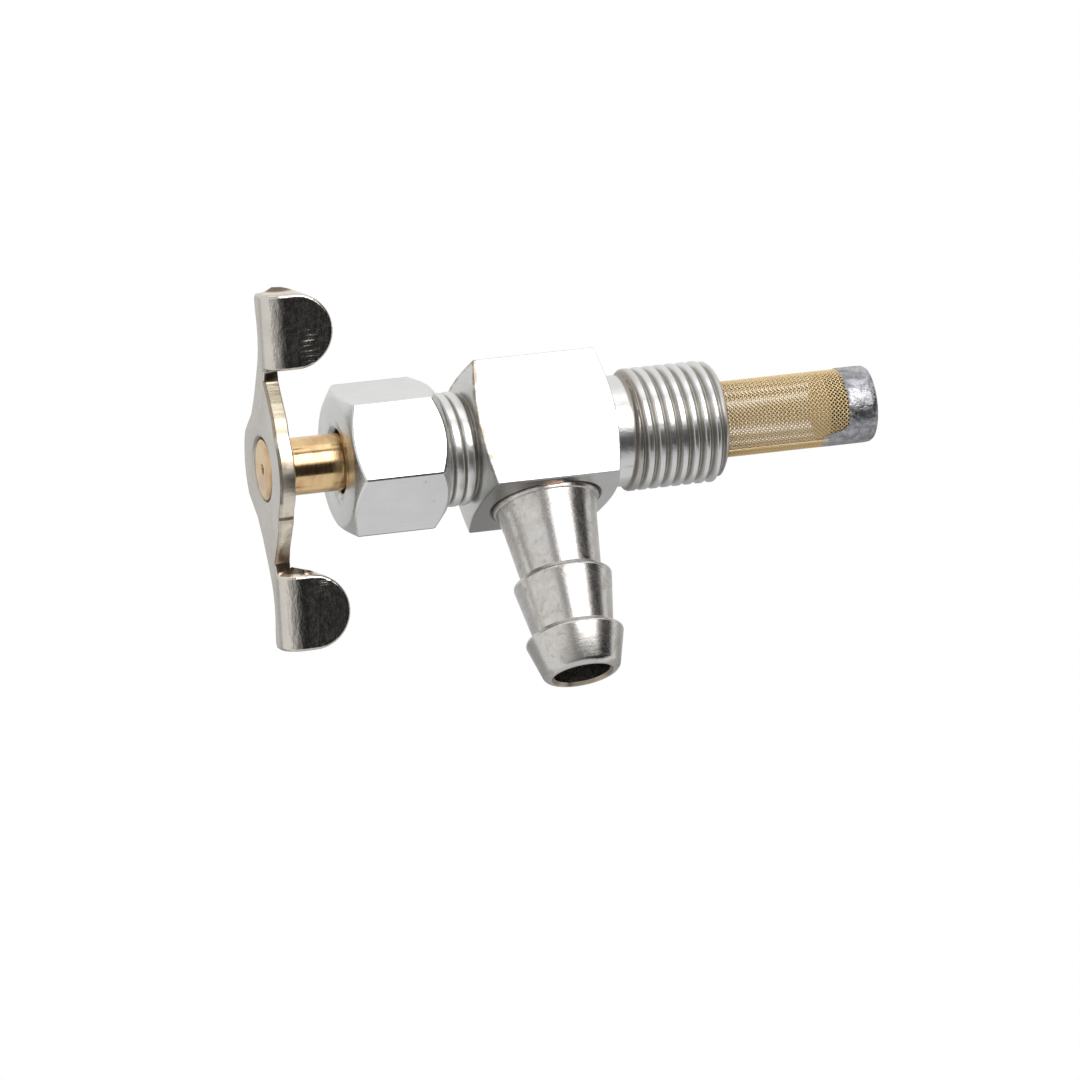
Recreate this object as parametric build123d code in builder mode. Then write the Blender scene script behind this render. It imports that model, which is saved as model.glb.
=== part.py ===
from build123d import *
from math import acos, cos, pi, radians, sin, sqrt, tan
import os

# Fuel tap for the tank of a small engine: a square valve block with a tank
# thread and a gauze strainer on one side, a packed spindle with a pressed
# sheet handle on the other, and a hose barb that points down.
# Millimetres, +Z up. The main axis is X, with the handle at -X and the
# strainer, which stands inside the tank, at +X.
# The origin is on the main axis, where the full tank thread starts.
# The two outside threads are plain rings, one at each pitch, and the threads
# inside the nut and the block are plain bores at their major diameter.

# Clearances
running_clearance = 0.05
packing_clearance = 0.03
ball_clearance = 0.03
seat_clearance = 0.05
joint_gap = 0.02
stop_gap = 0.1

# Square valve block, turned to a cone at both ends
block_across_flats = 11.11
block_length = 11.8
gland_end_cone = 14.3
inlet_end_cone = 19.2

# Inlet stub with the taper thread for the tank
inlet_neck_diameter = 9.25
inlet_neck_length = 1.87
tank_thread_diameter = 10.6
tank_thread_length = 7.95
tank_thread_taper = 1 / 16
tank_thread_pitch = 0.985
tank_thread_depth = 0.5
tank_thread_foot_chamfer = 0.45
tank_thread_end_chamfer = 0.7
strainer_bore_depth = 6.8
passage_diameter = 3.2
port_diameter = 4.0

# Spigot on the block that carries the gland nut
spigot_diameter = 9.5
spigot_length = 7.6
spigot_thread_pitch = 0.96
spigot_thread_depth = 0.34
spigot_end_chamfer = 0.4
relief_diameter = 8.7
relief_width = 0.35
stuffing_box_diameter = 6.75

# Gland nut
nut_across_flats = 11.3
nut_length = 8.3
nut_floor = 2.45
nut_take_up = 0.94
nut_face_diameter = 10.85
nut_outer_cone = 31.0
nut_inner_cone = 41.0
nut_turn = 36.6
nut_hole_diameter = 5.3
nut_hole_chamfer = 0.25

# Packing in the stuffing box
packing_ring_count = 3
packing_ring_height = 1.1
packing_washer_height = 0.8

# Spindle
stem_diameter = 4.76
spindle_thread_diameter = 5.5
spindle_thread_length = 3.5
spindle_thread_chamfer = 0.35
spindle_travel = 1.36
spindle_nose_diameter = 3.9
spindle_lip_diameter = 3.26
chamber_diameter = 4.65
chamber_lead = 0.25

# Seat and ball
seat_half_angle = 45.0
orifice_diameter = 2.0
orifice_length = 1.8
ball_diameter = 3.175
ball_lip_reach = 0.5

# Outlet barb, with depths measured down from the block's underside
barb_bore_diameter = 4.7
barb_bore_chamfer = 0.2
barb_spigot_diameter = 6.6
barb_spigot_length = 2.2
barb_collar_diameter = 8.95
barb_collar_rim = 0.15
barb_neck_diameter = 7.82
barb_flare_depth = 1.98
barb_flare_middle = (4.12, 0.85)
barb_waist_diameter = 6.72
barb_ridge_diameter = 8.3
barb_shoulder_length = 0.5
barb_upper_ridge_depth = 6.9
barb_lower_ridge_depth = 11.9
barb_depth = 15.3
barb_tip_diameter = 6.3
barb_ridge_round = 0.3
barb_lip_round = 0.55
braze_recess_diameter = 9.5
braze_recess_depth = 0.35
braze_height = 0.24
braze_sag = 0.05

# Pressed sheet handle: its outline is given as (across, along) from the hub
sheet_thickness = 1.3
handle_standoff = 5.05
handle_turn = 30.0
hub_diameter = 10.9
arm_near_edge = [(4.45, 3.2), (4.0, 4.7), (3.2, 6.05)]
arm_far_edge = [(-1.3, 6.05), (-2.5, 4.4), (-4.3, 2.9)]
neck_along = 7.6
neck_near = 2.1
neck_far = -0.4
wing_start = 8.55
wing_end = 14.8
wing_far = 0.1
wing_far_middle = (1.0, 11.6)
wing_far_end = 0.5
wing_corner_round = 0.4
wing_bend_radius = 1.75
ear_across = 3.5
ear_round_depth = 2.55
drive_diameter = 4.0
drive_flats = 3.2
rivet_sink_diameter = 5.5
rivet_sink_depth = 0.7
rivet_head_diameter = 4.7
rivet_head_rim = 0.3

# Strainer
gauze_diameter = 6.3
gauze_thickness = 0.2
gauze_reach = 11.0
gauze_bore_clearance = 0.05
gauze_end_gap = 0.3
gauze_lap_height = 0.1
gauze_lap_span = 34.0
gauze_lap_angle = 236.0
gauze_gaps_round = 12
gauze_bar_width = 0.4
strainer_cap_diameter = 6.42
strainer_cap_length = 2.6
strainer_cap_round = 0.5
strainer_cap_plug = 1.6
ferrule_length = 4.2
ferrule_wall = 0.35

# Stations along the main axis
inlet_face_x = -inlet_neck_length
gland_face_x = inlet_face_x - block_length
outlet_x = (inlet_face_x + gland_face_x) / 2
tank_thread_end_x = tank_thread_length
strainer_floor_x = tank_thread_end_x - strainer_bore_depth
spigot_end_x = gland_face_x - spigot_length
nut_floor_x = spigot_end_x - nut_take_up
nut_outer_x = nut_floor_x - nut_floor
nut_inner_x = nut_outer_x + nut_length
handle_back_x = nut_outer_x - handle_standoff
handle_front_x = handle_back_x - sheet_thickness

# Radii that several pieces share
block_half = block_across_flats / 2
block_corner = block_half * sqrt(2)
spigot_radius = spigot_diameter / 2
stuffing_box_radius = stuffing_box_diameter / 2
stem_radius = stem_diameter / 2
spindle_thread_radius = spindle_thread_diameter / 2
threaded_bore_radius = spindle_thread_radius + running_clearance
chamber_radius = chamber_diameter / 2
orifice_radius = orifice_diameter / 2
ball_radius = ball_diameter / 2
cup_radius = ball_radius + ball_clearance
gauze_radius = gauze_diameter / 2
gauze_inner_radius = gauze_radius - gauze_thickness
strainer_bore_radius = gauze_radius + gauze_bore_clearance
tank_thread_radius = tank_thread_diameter / 2
tank_thread_end_radius = tank_thread_radius - tank_thread_length * tank_thread_taper / 2
barb_bore_radius = barb_bore_diameter / 2
barb_collar_radius = barb_collar_diameter / 2
drive_radius = drive_diameter / 2

# The seat is a cone cut back from the orifice, and the ball is just clear of it
seat_slope = tan(radians(seat_half_angle))
orifice_end_x = inlet_face_x
seat_end_x = orifice_end_x - orifice_length
seat_start_x = seat_end_x - (chamber_radius - orifice_radius) / seat_slope
seat_apex_x = seat_end_x + orifice_radius / seat_slope
ball_x = seat_apex_x - (ball_radius + seat_clearance) / sin(radians(seat_half_angle))

# The spindle's thread runs in the block between the packing and the chamber.
# Its shoulder meets the inner packing washer when the tap is fully open.
chamber_start_x = outlet_x - port_diameter / 2 - chamber_lead - spindle_travel
spindle_thread_end_x = chamber_start_x - stop_gap
spindle_thread_start_x = spindle_thread_end_x - spindle_thread_length
box_floor_x = spindle_thread_start_x - spindle_travel - stop_gap

# Planes and directions
handle_across = Vector(0, -cos(radians(handle_turn)), -sin(radians(handle_turn)))
handle_along = Vector(0, -sin(radians(handle_turn)), cos(radians(handle_turn)))
handle_centre = Vector(handle_front_x, 0, 0)
handle_face = Plane(handle_centre, x_dir=handle_across, z_dir=(-1, 0, 0))
handle_middle = Plane(handle_centre, x_dir=handle_across, z_dir=handle_along)
neck_section = Plane(handle_centre + handle_along * neck_along, x_dir=handle_across, z_dir=handle_along)
wing_section = Plane(handle_centre + handle_along * wing_start, x_dir=handle_across, z_dir=handle_along)
ear_side = Plane(handle_centre, x_dir=handle_along, z_dir=-handle_across)
underside = Plane((outlet_x, 0, -block_half), x_dir=(1, 0, 0), z_dir=(0, 0, -1))
barb_side = Plane((outlet_x, 0, -block_half), x_dir=(1, 0, 0), z_dir=(0, 1, 0))
barb_axis = Axis((outlet_x, 0, 0), (0, 0, 1))


# Outline of a thread's rings, as (distance along the thread, radius). It goes
# down to each root and up to the next crest, and stops before the given length.
# Half of each pitch is worn crest, and half is groove.
def thread_rings(length, pitch, depth, radius, slope):
    flank = pitch / 4
    outline = []
    for ring in range(int((length - flank) / pitch + 0.5)):
        root = (ring + 0.5) * pitch
        outline += [
            (root - flank, radius - slope * (root - flank)),
            (root, radius - slope * root - depth),
            (root + flank, radius - slope * (root + flank)),
        ]
    return outline


# One turned piece: the square block, the gland spigot and the inlet stub
with BuildPart() as valve_body:
    with BuildSketch(Plane.YZ.offset(gland_face_x)):
        Rectangle(block_across_flats, block_across_flats)
    extrude(amount=block_length)
    corner_rise = block_corner - block_half
    with BuildSketch(Plane.XY):
        with BuildLine():
            Polyline(
                (gland_face_x, 0),
                (gland_face_x, block_half),
                (gland_face_x + corner_rise * tan(radians(gland_end_cone)), block_corner),
                (inlet_face_x - corner_rise * tan(radians(inlet_end_cone)), block_corner),
                (inlet_face_x, block_half),
                (inlet_face_x, 0),
                close=True,
            )
        make_face()
    revolve(axis=Axis.X, mode=Mode.INTERSECT)
    spigot_thread_x = gland_face_x - relief_width - (spigot_diameter - relief_diameter) / 2
    spigot_chamfer_x = spigot_end_x + spigot_end_chamfer
    spigot_thread_reach = spigot_thread_x - spigot_chamfer_x
    spigot_rings = thread_rings(
        spigot_thread_reach, spigot_thread_pitch, spigot_thread_depth, spigot_radius, 0
    )
    with BuildSketch(Plane.XY):
        with BuildLine():
            Polyline(
                (outlet_x, 0),
                (outlet_x, relief_diameter / 2),
                (gland_face_x - relief_width, relief_diameter / 2),
                (spigot_thread_x, spigot_radius),
                *[(spigot_thread_x - distance, radius) for distance, radius in spigot_rings],
                (spigot_chamfer_x, spigot_radius),
                (spigot_end_x, spigot_radius - spigot_end_chamfer),
                (spigot_end_x, 0),
                close=True,
            )
        make_face()
    revolve(axis=Axis.X)
    tank_slope = tank_thread_taper / 2
    tank_chamfer_x = tank_thread_end_x - tank_thread_end_chamfer
    tank_rings = thread_rings(
        tank_chamfer_x, tank_thread_pitch, tank_thread_depth, tank_thread_radius, tank_slope
    )
    with BuildSketch(Plane.XY):
        with BuildLine():
            Polyline(
                (outlet_x, 0),
                (outlet_x, inlet_neck_diameter / 2),
                (-tank_thread_foot_chamfer, inlet_neck_diameter / 2),
                (0, tank_thread_radius),
                *tank_rings,
                (tank_chamfer_x, tank_thread_radius - tank_slope * tank_chamfer_x),
                (tank_thread_end_x, tank_thread_end_radius - tank_thread_end_chamfer),
                (tank_thread_end_x, 0),
                close=True,
            )
        make_face()
    revolve(axis=Axis.X)
    with BuildSketch(Plane.XY):
        with BuildLine():
            Polyline(
                (spigot_end_x, 0),
                (spigot_end_x, stuffing_box_radius),
                (box_floor_x, stuffing_box_radius),
                (box_floor_x, threaded_bore_radius),
                (chamber_start_x, threaded_bore_radius),
                (chamber_start_x, chamber_radius),
                (seat_start_x, chamber_radius),
                (seat_end_x, orifice_radius),
                (orifice_end_x, orifice_radius),
                (orifice_end_x, passage_diameter / 2),
                (strainer_floor_x, passage_diameter / 2),
                (strainer_floor_x, strainer_bore_radius),
                (tank_thread_end_x, strainer_bore_radius),
                (tank_thread_end_x, 0),
                close=True,
            )
        make_face()
    revolve(axis=Axis.X, mode=Mode.SUBTRACT)
    with BuildSketch(underside):
        Circle(braze_recess_diameter / 2)
    extrude(amount=-braze_recess_depth, mode=Mode.SUBTRACT)
    with BuildSketch(underside):
        Circle(barb_spigot_diameter / 2 + joint_gap)
    extrude(amount=-(braze_recess_depth + barb_spigot_length + joint_gap), mode=Mode.SUBTRACT)
    with BuildSketch(underside):
        Circle(port_diameter / 2)
    extrude(amount=-block_half, mode=Mode.SUBTRACT)
valve_body.part.label = "valve_body"

# Turned outlet, brazed into the underside of the block
with BuildPart() as outlet_barb:
    with BuildSketch(barb_side):
        with BuildLine():
            outlet_top = Polyline(
                (barb_bore_radius, -braze_recess_depth - barb_spigot_length),
                (barb_spigot_diameter / 2, -braze_recess_depth - barb_spigot_length),
                (barb_spigot_diameter / 2, -braze_recess_depth),
                (barb_collar_radius, -braze_recess_depth),
                (barb_collar_radius, barb_collar_rim),
            )
            flare = ThreePointArc(
                outlet_top @ 1,
                barb_flare_middle,
                (barb_neck_diameter / 2, barb_flare_depth),
            )
            ridges = FilletPolyline(
                flare @ 1,
                (barb_waist_diameter / 2, barb_upper_ridge_depth - barb_shoulder_length),
                (barb_ridge_diameter / 2, barb_upper_ridge_depth),
                (barb_waist_diameter / 2, barb_lower_ridge_depth - barb_shoulder_length),
                (barb_ridge_diameter / 2, barb_lower_ridge_depth),
                (barb_tip_diameter / 2, barb_depth),
                (barb_bore_radius + barb_bore_chamfer, barb_depth),
                radius=[0, barb_ridge_round, 0, barb_ridge_round, barb_lip_round],
            )
            Polyline(
                ridges @ 1,
                (barb_bore_radius, barb_depth - barb_bore_chamfer),
                outlet_top @ 0,
            )
        make_face()
    revolve(axis=barb_axis)
outlet_barb.part.label = "outlet_barb"

# Copper braze left in the recess round the outlet's collar
with BuildPart() as braze_ring:
    braze_inner = barb_collar_radius + joint_gap
    braze_outer = braze_recess_diameter / 2 - joint_gap
    with BuildSketch(barb_side):
        with BuildLine():
            braze_sides = Polyline(
                (braze_inner, braze_height - braze_recess_depth),
                (braze_inner, -braze_recess_depth),
                (braze_outer, -braze_recess_depth),
                (braze_outer, braze_height - braze_recess_depth),
            )
            ThreePointArc(
                braze_sides @ 1,
                ((braze_inner + braze_outer) / 2, braze_height - braze_sag - braze_recess_depth),
                braze_sides @ 0,
            )
        make_face()
    revolve(axis=barb_axis)
braze_ring.part.label = "braze_ring"

# Hexagon gland nut, closed down to a hole for the stem at its outer end
with BuildPart() as gland_nut:
    with BuildSketch(Plane.YZ.offset(nut_outer_x)):
        RegularPolygon(nut_across_flats / 2, 6, major_radius=False, rotation=nut_turn)
    extrude(amount=nut_length)
    nut_corner = nut_across_flats / sqrt(3)
    nut_rise = nut_corner - nut_face_diameter / 2
    with BuildSketch(Plane.XY):
        with BuildLine():
            Polyline(
                (nut_outer_x, 0),
                (nut_outer_x, nut_face_diameter / 2),
                (nut_outer_x + nut_rise * tan(radians(nut_outer_cone)), nut_corner),
                (nut_inner_x - nut_rise * tan(radians(nut_inner_cone)), nut_corner),
                (nut_inner_x, nut_face_diameter / 2),
                (nut_inner_x, 0),
                close=True,
            )
        make_face()
    revolve(axis=Axis.X, mode=Mode.INTERSECT)
    nut_hole_radius = nut_hole_diameter / 2
    nut_bore_radius = spigot_radius + joint_gap
    with BuildSketch(Plane.XY):
        with BuildLine():
            Polyline(
                (nut_outer_x, 0),
                (nut_outer_x, nut_hole_radius + nut_hole_chamfer),
                (nut_outer_x + nut_hole_chamfer, nut_hole_radius),
                (nut_floor_x, nut_hole_radius),
                (nut_floor_x, nut_bore_radius),
                (nut_inner_x, nut_bore_radius),
                (nut_inner_x, 0),
                close=True,
            )
        make_face()
    revolve(axis=Axis.X, mode=Mode.SUBTRACT)
gland_nut.part.label = "gland_nut"

# Washer on the floor of the stuffing box, under the packing
washer_start_x = box_floor_x - packing_washer_height
with BuildPart() as packing_washer:
    with BuildSketch(Plane.YZ.offset(washer_start_x)):
        Circle(stuffing_box_radius - joint_gap)
        Circle(stem_radius + running_clearance, mode=Mode.SUBTRACT)
    extrude(amount=packing_washer_height)
packing_washer.part.label = "packing_washer"

# Soft packing rings, squeezed between the washer and the gland collar
packing_rings = []
for ring_number in range(1, packing_ring_count + 1):
    with BuildPart() as packing_ring:
        with BuildSketch(Plane.YZ.offset(washer_start_x - ring_number * packing_ring_height)):
            Circle(stuffing_box_radius - joint_gap)
            Circle(stem_radius + packing_clearance, mode=Mode.SUBTRACT)
        extrude(amount=packing_ring_height)
    packing_ring.part.label = f"packing_ring_{ring_number}"
    packing_rings.append(packing_ring.part)
packing_end_x = washer_start_x - packing_ring_count * packing_ring_height

# Collar that the gland nut's floor pushes against the packing
with BuildPart() as gland_collar:
    with BuildSketch(Plane.YZ.offset(nut_floor_x)):
        Circle(stuffing_box_radius - joint_gap)
        Circle(stem_radius + running_clearance, mode=Mode.SUBTRACT)
    extrude(amount=packing_end_x - nut_floor_x)
gland_collar.part.label = "gland_collar"

# Brass spindle: riveted end, stem, thread, and a nose that holds the ball
with BuildPart() as spindle:
    cup_mouth_angle = acos(ball_lip_reach / cup_radius)
    cup_middle_angle = (cup_mouth_angle + radians(180)) / 2
    cup_mouth = (ball_x + ball_lip_reach, cup_radius * sin(cup_mouth_angle))
    nose_taper = (spindle_nose_diameter - spindle_lip_diameter) / 2
    with BuildSketch(Plane.XY):
        with BuildLine():
            spindle_side = Polyline(
                (ball_x - cup_radius, 0),
                (handle_front_x, 0),
                (handle_front_x, rivet_head_diameter / 2),
                (handle_front_x + rivet_head_rim, rivet_head_diameter / 2),
                (handle_front_x + rivet_sink_depth, drive_radius),
                (handle_back_x, drive_radius),
                (handle_back_x, stem_radius),
                (spindle_thread_start_x, stem_radius),
                (spindle_thread_start_x, spindle_thread_radius - spindle_thread_chamfer),
                (spindle_thread_start_x + spindle_thread_chamfer, spindle_thread_radius),
                (spindle_thread_end_x - spindle_thread_chamfer, spindle_thread_radius),
                (spindle_thread_end_x, spindle_thread_radius - spindle_thread_chamfer),
                (spindle_thread_end_x, spindle_nose_diameter / 2),
                (ball_x + ball_lip_reach - 2 * nose_taper, spindle_nose_diameter / 2),
                (ball_x + ball_lip_reach, spindle_lip_diameter / 2),
                cup_mouth,
            )
            ThreePointArc(
                cup_mouth,
                (ball_x + cup_radius * cos(cup_middle_angle), cup_radius * sin(cup_middle_angle)),
                spindle_side @ 0,
            )
        make_face()
    revolve(axis=Axis.X)
    with BuildSketch(handle_face.offset(-rivet_sink_depth)):
        Circle(drive_radius)
        Rectangle(drive_diameter, drive_flats, mode=Mode.SUBTRACT)
    extrude(amount=rivet_sink_depth - sheet_thickness, mode=Mode.SUBTRACT)
spindle.part.label = "spindle"

# Ball rolled loosely into the nose, which closes the orifice without scuffing
with BuildPart() as valve_ball:
    with Locations((ball_x, 0, 0)):
        Sphere(ball_radius)
valve_ball.part.label = "valve_ball"

# One folded blank: a hub, two arms, and an ear bent back at the end of each
with BuildPart() as handle:
    bend_start = ear_across - wing_bend_radius
    inner_bend_radius = wing_bend_radius - sheet_thickness
    ear_radius = (wing_end - wing_start) / 2
    ear_middle = (wing_start + wing_end) / 2
    with BuildSketch(wing_section):
        with BuildLine():
            outer_flat = Line((wing_far, 0), (bend_start, 0))
            outer_bend = JernArc(outer_flat @ 1, (1, 0), wing_bend_radius, 90)
            ear_edge = Polyline(
                outer_bend @ 1,
                (ear_across, ear_round_depth + ear_radius),
                (ear_across - sheet_thickness, ear_round_depth + ear_radius),
                (ear_across - sheet_thickness, wing_bend_radius),
            )
            inner_bend = JernArc(ear_edge @ 1, (0, -1), inner_bend_radius, -90)
            Polyline(inner_bend @ 1, (wing_far, sheet_thickness), (wing_far, 0))
        make_face()
    extrude(amount=wing_end - wing_start)
    with BuildSketch(ear_side):
        with BuildLine():
            ear_sides = Polyline(
                (wing_start, ear_round_depth),
                (wing_start, 0),
                (wing_end, 0),
                (wing_end, ear_round_depth),
            )
            ThreePointArc(ear_sides @ 1, (ear_middle, ear_round_depth + ear_radius), ear_sides @ 0)
        make_face()
    extrude(amount=-ear_across, both=True, mode=Mode.INTERSECT)
    with BuildSketch(handle_face):
        with BuildLine():
            ThreePointArc((wing_far, wing_start), wing_far_middle, (wing_far_end, wing_end))
            Polyline(
                (wing_far_end, wing_end),
                (wing_far - sheet_thickness, wing_end),
                (wing_far - sheet_thickness, wing_start),
                (wing_far, wing_start),
            )
        make_face()
    extrude(amount=-2 * sheet_thickness, mode=Mode.SUBTRACT)
    end_edges = handle.edges().filter_by(Axis.X).group_by(Axis(handle_centre, handle_along))[-1]
    fillet(end_edges.sort_by(Axis(handle_centre, handle_across))[0], wing_corner_round)
    with BuildSketch(neck_section):
        with BuildLine():
            Polyline(
                (neck_far, 0),
                (bend_start, 0),
                (neck_near, 0),
                (neck_near, sheet_thickness),
                (bend_start, sheet_thickness),
                (neck_far, sheet_thickness),
                close=True,
            )
        make_face()
    with BuildSketch(wing_section):
        with BuildLine():
            root_flat = Line((wing_far, 0), (bend_start, 0))
            root_bend = JernArc(root_flat @ 1, (1, 0), wing_bend_radius, 90)
            root_edge = Line(root_bend @ 1, (ear_across - sheet_thickness, wing_bend_radius))
            root_inside = JernArc(root_edge @ 1, (0, -1), inner_bend_radius, -90)
            Polyline(root_inside @ 1, (wing_far, sheet_thickness), (wing_far, 0))
        make_face()
    loft(ruled=True)
    with BuildSketch(handle_face):
        with Locations((ear_across, neck_along)):
            Ellipse(ear_across - neck_near, wing_start - neck_along)
    extrude(amount=-2 * wing_bend_radius, mode=Mode.SUBTRACT)
    with BuildSketch(handle_face):
        with BuildLine():
            Polyline(
                (0, 0),
                *arm_near_edge,
                (neck_near, neck_along),
                (neck_far, neck_along),
                *arm_far_edge,
                close=True,
            )
        make_face()
    extrude(amount=-sheet_thickness)
    mirror(about=handle_middle)
    with BuildSketch(handle_face):
        Circle(hub_diameter / 2)
    extrude(amount=-sheet_thickness)
    with BuildSketch(handle_face):
        Circle(drive_radius + joint_gap)
        Rectangle(drive_diameter + 1, drive_flats + 2 * joint_gap, mode=Mode.INTERSECT)
    extrude(amount=-sheet_thickness, mode=Mode.SUBTRACT)
    with BuildSketch(Plane.XY):
        with BuildLine():
            Polyline(
                (handle_front_x, 0),
                (handle_front_x, rivet_sink_diameter / 2),
                (handle_front_x + rivet_sink_depth, drive_radius + joint_gap),
                (handle_front_x + rivet_sink_depth, 0),
                close=True,
            )
        make_face()
    revolve(axis=Axis.X, mode=Mode.SUBTRACT)
handle.part.label = "handle"

# Strainer of fine brass gauze, rolled to a tube with a lap along its underside.
# A coarse grid on the bias stands for the weave.
gauze_start_x = strainer_floor_x + gauze_end_gap
gauze_end_x = tank_thread_end_x + gauze_reach
with BuildPart() as strainer_gauze:
    with BuildSketch(Plane.YZ.offset(gauze_start_x)):
        Circle(gauze_radius)
        Circle(gauze_inner_radius, mode=Mode.SUBTRACT)
    extrude(amount=gauze_end_x - gauze_start_x)
    with BuildSketch(Plane.YZ.offset(tank_thread_end_x + gauze_end_gap)):
        with BuildLine():
            lap_start = CenterArc((0, 0), gauze_radius + gauze_lap_height, gauze_lap_angle, gauze_lap_span)
            lap_base = CenterArc((0, 0), gauze_radius - gauze_thickness / 2, gauze_lap_angle, gauze_lap_span)
            Line(lap_start @ 0, lap_base @ 0)
            Line(lap_start @ 1, lap_base @ 1)
        make_face()
    extrude(amount=gauze_reach - gauze_end_gap)
    gauze_cell = 2 * pi * gauze_radius / gauze_gaps_round
    gauze_gap_side = gauze_cell / sqrt(2) - gauze_bar_width
    first_gap_x = tank_thread_end_x + gauze_cell / 2
    gap_row_count = int((gauze_end_x - strainer_cap_plug - first_gap_x) / (gauze_cell / 2))
    gaps = []
    for row in range(gap_row_count):
        for number in range(gauze_gaps_round):
            gap_angle = radians((number + row % 2 / 2) * 360 / gauze_gaps_round)
            outward = Vector(0, cos(gap_angle), sin(gap_angle))
            inside = outward * (gauze_inner_radius - gauze_thickness)
            row_centre = Vector(first_gap_x + row * gauze_cell / 2, 0, 0)
            gaps.append(Plane(row_centre + inside, x_dir=(1, 0, 0), z_dir=outward))
    with BuildSketch(*gaps):
        Rectangle(gauze_gap_side, gauze_gap_side, rotation=45)
    extrude(amount=3 * gauze_thickness + gauze_lap_height, mode=Mode.SUBTRACT)
strainer_gauze.part.label = "strainer_gauze"

# Sleeve that spreads the gauze against the wall of its bore
with BuildPart() as strainer_ferrule:
    with BuildSketch(Plane.YZ.offset(gauze_start_x)):
        Circle(gauze_inner_radius - joint_gap)
        Circle(gauze_inner_radius - joint_gap - ferrule_wall, mode=Mode.SUBTRACT)
    extrude(amount=ferrule_length)
strainer_ferrule.part.label = "strainer_ferrule"

# Cast solder plug that closes the end of the gauze
with BuildPart() as strainer_cap:
    with BuildSketch(Plane.YZ.offset(gauze_end_x)):
        Circle(strainer_cap_diameter / 2)
    extrude(amount=strainer_cap_length)
    fillet(strainer_cap.edges().sort_by(Axis.X)[-1], strainer_cap_round)
    with BuildSketch(Plane.YZ.offset(gauze_end_x)):
        Circle(gauze_inner_radius - joint_gap)
    extrude(amount=-strainer_cap_plug)
strainer_cap.part.label = "strainer_cap"

pieces = [
    valve_body.part,
    outlet_barb.part,
    braze_ring.part,
    gland_nut.part,
    packing_washer.part,
    *packing_rings,
    gland_collar.part,
    spindle.part,
    valve_ball.part,
    handle.part,
    strainer_gauze.part,
    strainer_ferrule.part,
    strainer_cap.part,
]

os.makedirs("parts", exist_ok=True)
for piece in pieces:
    export_step(piece, f"parts/{piece.label}.step")
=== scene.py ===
from math import atan2, ceil, cos, hypot, pi, radians, sin, sqrt, tan

import bmesh
import bpy
from mathutils import Matrix, Vector


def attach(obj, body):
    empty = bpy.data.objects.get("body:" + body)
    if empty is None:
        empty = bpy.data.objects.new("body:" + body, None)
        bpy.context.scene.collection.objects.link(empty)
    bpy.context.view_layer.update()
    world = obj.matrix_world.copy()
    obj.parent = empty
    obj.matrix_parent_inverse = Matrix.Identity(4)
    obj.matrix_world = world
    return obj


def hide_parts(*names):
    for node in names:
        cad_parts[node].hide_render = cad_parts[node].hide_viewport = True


# A fuel tap for the tank of a small engine. All sizes are millimetres in the
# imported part's own frame: +X runs from the handle to the strainer, and the
# outlet points to -Z. Each piece is scaled to metres when it is finished.
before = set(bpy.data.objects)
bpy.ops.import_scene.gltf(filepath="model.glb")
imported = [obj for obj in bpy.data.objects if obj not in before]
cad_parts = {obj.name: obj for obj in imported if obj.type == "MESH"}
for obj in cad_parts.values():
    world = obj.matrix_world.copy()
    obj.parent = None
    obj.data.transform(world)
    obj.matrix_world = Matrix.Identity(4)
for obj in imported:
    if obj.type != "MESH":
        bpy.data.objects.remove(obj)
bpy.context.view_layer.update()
MM = 0.001

# Stations along the main axis
HANDLE_FRONT = -31.01
HANDLE_BACK = -29.71
NUT_OUTER = -24.66
NUT_INNER = -16.36
NUT_FLOOR = -22.21
SPIGOT_END = -21.27
BOX_FLOOR = -16.44
SPINDLE_THREAD_START = -14.98
SPINDLE_THREAD_END = -11.48
GLAND_FACE = -13.67
INLET_FACE = -1.87
OUTLET_X = -7.77
THREAD_END = 7.95
STRAINER_FLOOR = 1.15
GAUZE_START = 1.45
GAUZE_END = 18.95
CAP_END = 21.55
BALL_X = -4.986

# Square block and its two turned ends
BLOCK_HALF = 5.555
BLOCK_FACE_RADIUS = 5.48
GLAND_CONE = 14.3
INLET_CONE = 19.2
LONG_EDGE_WEAR = 0.12
CONE_EDGE_WEAR = 0.065
SPIGOT_RADIUS = 4.75
SPIGOT_RELIEF = 4.3
STUFFING_BOX = 3.375
NECK_RADIUS = 4.625
STRAINER_BORE = 3.2
TANK_RADIUS = 5.3
TANK_TAPER = 1 / 32
GLAND_PITCH = 0.96
TANK_PITCH = 0.985
TANK_THREAD_DEPTH = 0.55
GLAND_THREAD_DEPTH = 0.34

# Gland nut
NUT_HALF = 5.65
NUT_FACE_RADIUS = 5.38
NUT_OUTER_CONE = 31
NUT_INNER_CONE = 41
NUT_TURN = 6.6
NUT_HOLE = 2.65
NUT_BORE = 4.77
NUT_EDGE_WEAR = 0.1

# Spindle
STEM_RADIUS = 2.38
RIVET_NECK = 2.02
SPINDLE_THREAD_ROOT = 2.4
SPINDLE_THREAD_RADIUS = 2.75
NOSE_RADIUS = 1.95
NOSE_HOLLOW = 1.6175

# Outlet, with depths below the underside of the block
RECESS_RADIUS = 4.75
RECESS_DEPTH = 0.35
OUTLET_BORE = 2.35

# Handle: its blank is drawn as (across, along) from the hub
SHEET = 1.3
HANDLE_TURN = radians(30)
HUB_RADIUS = 5.45
BEND_START = 1.75
BEND_RADIUS = 1.1
BEND_LENGTH = BEND_RADIUS * pi / 2
HOLE_FRONT = 2.72
HOLE_BACK = 2.4
FOLD_START = 7.5
EAR_INNER = 8.55
EAR_OUTER = 14.8

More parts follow.
